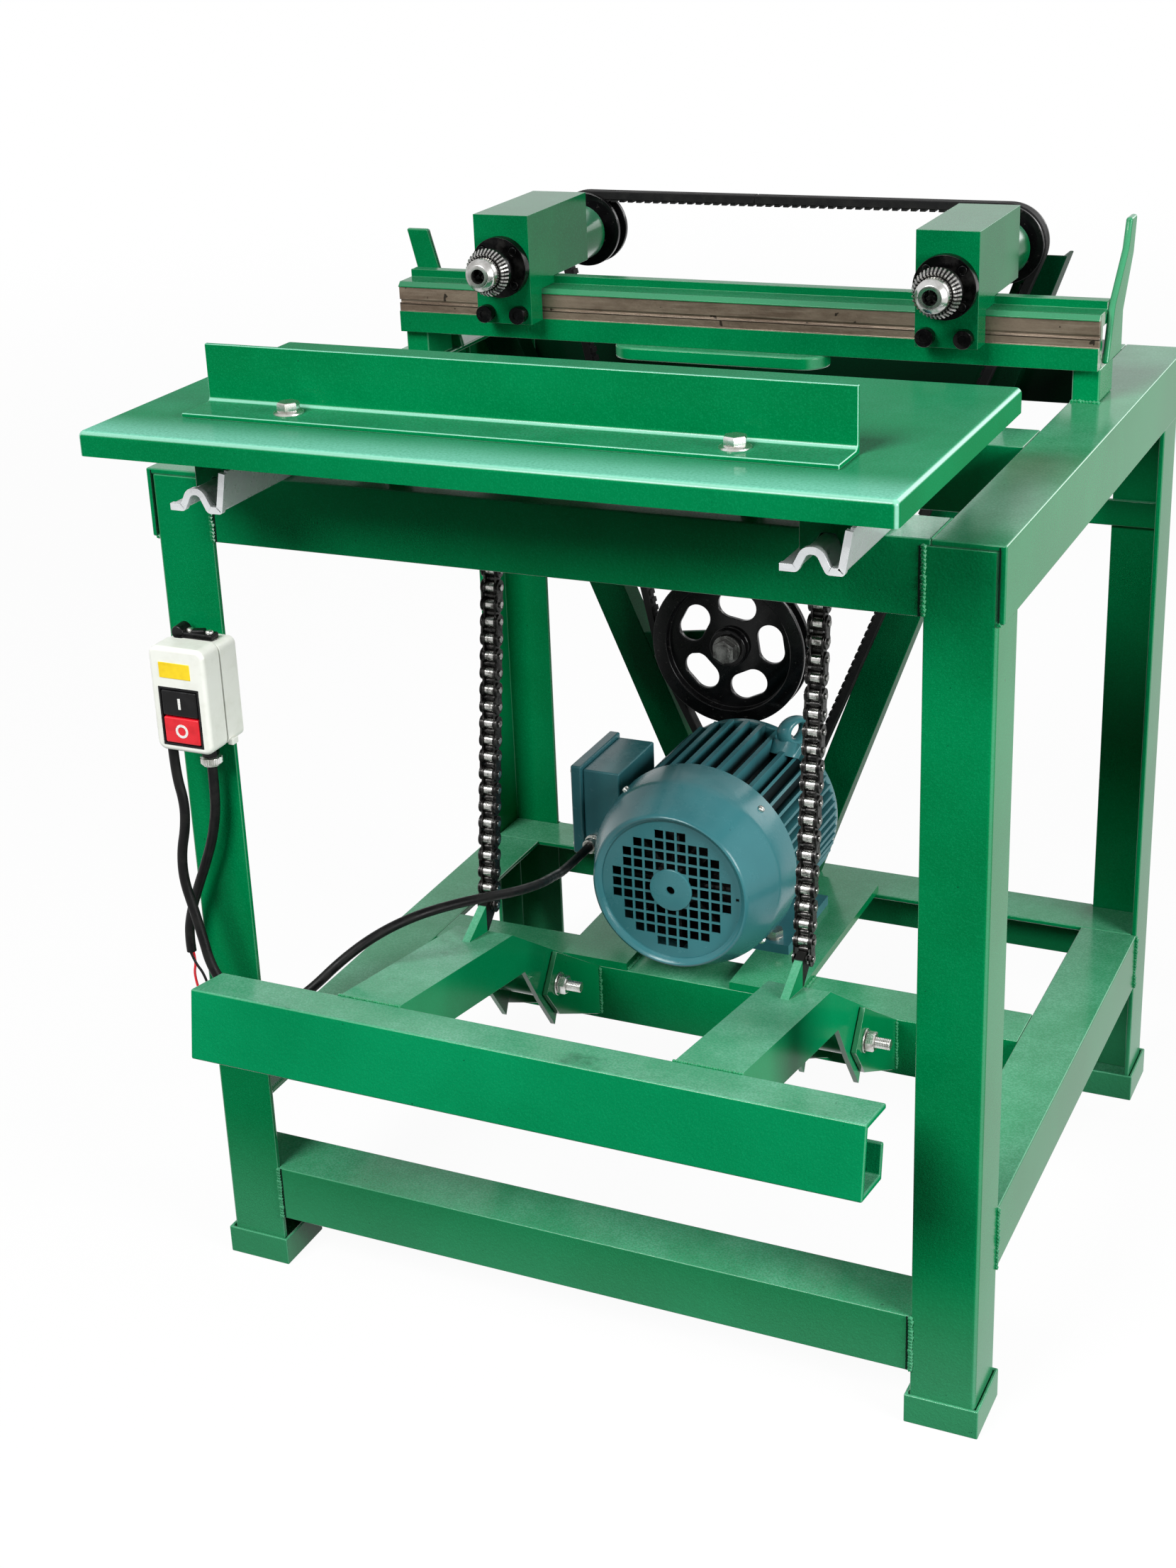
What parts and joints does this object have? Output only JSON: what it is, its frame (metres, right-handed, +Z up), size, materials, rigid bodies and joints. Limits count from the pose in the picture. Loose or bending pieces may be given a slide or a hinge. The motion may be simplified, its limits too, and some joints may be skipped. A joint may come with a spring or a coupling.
{
  "type": "horizontal boring machine",
  "caption": "Floor-standing boring machine: a treadle pulls chains that slide a fenced table toward spindles with keyed chucks, driven by a V-belt from a motor low in an open angle-iron stand.",
  "frame": {"origin": "centre of the machine's bounding box on the floor", "axes": "+Z up, +Y from the operator toward the boring heads, +X to the operator's right"},
  "size_m": [0.7391, 0.777, 0.93],
  "materials": {
    "green_paint": "satin orange-peel paint",
    "teal_paint": "satin paint",
    "zinc": "zinc plated",
    "bare_steel": "machined",
    "chain_steel": "oiled, dark",
    "black_iron": "black paint",
    "belt_rubber": "matte",
    "ivory": "satin",
    "cable": "satin",
    "black_plastic": "gloss",
    "red_plastic": "gloss"
  },
  "bodies": {
    "stand": {"legs": "green_paint", "feet": "green_paint", "top_side_rails": "green_paint", "front_rails": "green_paint", "rear_rails": "green_paint", "runner_bearer": "green_paint", "low_side_rails": "green_paint", "mid_rail": "green_paint", "motor_rails": "green_paint", "slide_runners": "zinc", "head_rail": "green_paint", "rail_fittings": "green_paint", "braces": "green_paint", "idler_bracket": "green_paint", "pivot_bolts": "zinc", "treadle_lugs": "green_paint", "sprocket_hangers": "green_paint", "motor_frame": "teal_paint", "motor_end_bell": "teal_paint", "motor_fan_cover": "teal_paint", "terminal_box": "teal_paint", "motor_bolts": "zinc", "switch_base": "ivory", "switch_cover": "ivory", "cable_fittings": "zinc", "motor_cable": "cable", "supply_cable": "cable", "chain_left": "chain_steel", "chain_right": "chain_steel", "chain_tops": "chain_steel", "belt_left": "belt_rubber", "belt_right": "belt_rubber"},
    "treadle": {"treadle_bar": "green_paint", "treadle_arms": "green_paint"},
    "table": {"feed_table": "green_paint", "fence": "green_paint", "fence_bolts": "zinc", "slide_blocks": "green_paint", "chain_brackets": "green_paint"},
    "sprocket_set": {"sprocket_shaft": "chain_steel"},
    "rotor": {"motor_rotor": "bare_steel", "motor_pulley": "black_iron"},
    "idler": {"idler_pulley": "black_iron"},
    "start": {"start_button": "black_plastic"},
    "stop": {"stop_button": "red_plastic"},
    "left_head": {"head_left": "green_paint", "cap_left": "black_iron", "hardware_left": "chain_steel"},
    "left_spindle": {"spindle_left": "bare_steel", "chuck_left": "bare_steel", "pulley_left": "black_iron"},
    "left_sleeve": {"sleeve_left": "bare_steel"},
    "right_head": {"head_right": "green_paint", "cap_right": "black_iron", "hardware_right": "chain_steel"},
    "right_spindle": {"spindle_right": "bare_steel", "chuck_right": "bare_steel", "pulley_right": "black_iron"},
    "right_sleeve": {"sleeve_right": "bare_steel"}
  },
  "joints": [
    {"name": "treadle_press", "type": "hinge", "parent": "stand", "child": "treadle", "pos_m": [0, -0.0165, 0.218], "axis": [1, 0, 0], "range_deg": [0, 28], "stiffness_Nm_per_rad": 60, "springref_deg": -34.38, "deforming": ["chain_left", "chain_right"]},
    {"name": "table_feed", "type": "slide", "parent": "stand", "child": "table", "axis": [0, 1, 0], "range_m": [0, 0.05225], "deforming": ["chain_tops"]},
    {"name": "sprocket_turn", "type": "hinge", "parent": "stand", "child": "sprocket_set", "pos_m": [0, -0.05468, 0.7586], "axis": [1, 0, 0], "range_deg": [-97.73, 0]},
    {"name": "motor_spin", "type": "hinge", "parent": "stand", "child": "rotor", "pos_m": [-0.035, 0.3235, 0.294], "axis": [0, 1, 0], "continuous": true},
    {"name": "idler_spin", "type": "hinge", "parent": "stand", "child": "idler", "pos_m": [-0.068, 0.3235, 0.455], "axis": [0, 1, 0], "continuous": true},
    {"name": "left_head_slide", "type": "slide", "parent": "stand", "child": "left_head", "axis": [1, 0, 0], "range_m": [-0.02, 0.02], "deforming": ["belt_left"]},
    {"name": "left_spindle_spin", "type": "hinge", "parent": "left_head", "child": "left_spindle", "pos_m": [-0.212, 0.3235, 0.883], "axis": [0, 1, 0], "continuous": true},
    {"name": "left_chuck_turn", "type": "hinge", "parent": "left_spindle", "child": "left_sleeve", "pos_m": [-0.212, 0.0885, 0.883], "axis": [0, 1, 0], "range_deg": [-180, 180]},
    {"name": "right_head_slide", "type": "slide", "parent": "stand", "child": "right_head", "axis": [1, 0, 0], "range_m": [-0.02, 0.02], "deforming": ["belt_right"]},
    {"name": "right_spindle_spin", "type": "hinge", "parent": "right_head", "child": "right_spindle", "pos_m": [0.212, 0.3235, 0.883], "axis": [0, 1, 0], "continuous": true},
    {"name": "right_chuck_turn", "type": "hinge", "parent": "right_spindle", "child": "right_sleeve", "pos_m": [0.212, 0.0885, 0.883], "axis": [0, 1, 0], "range_deg": [-180, 180]},
    {"name": "start_press", "type": "slide", "parent": "stand", "child": "start", "axis": [0, 1, 0], "range_m": [0, 0.004], "stiffness_N_per_m": 900, "springref_m": -0.002},
    {"name": "stop_press", "type": "slide", "parent": "stand", "child": "stop", "axis": [0, 1, 0], "range_m": [0, 0.004], "stiffness_N_per_m": 900, "springref_m": -0.002}
  ],
  "couplings": [
    {"joint": "table_feed", "follows": "treadle_press", "m_per_rad": 0.1065},
    {"joint": "sprocket_turn", "follows": "treadle_press", "ratio": -3.4726},
    {"joint": "idler_spin", "follows": "motor_spin", "ratio": 0.47284},
    {"joint": "left_spindle_spin", "follows": "motor_spin", "ratio": 1.1606},
    {"joint": "right_spindle_spin", "follows": "motor_spin", "ratio": 1.1606}
  ]
}
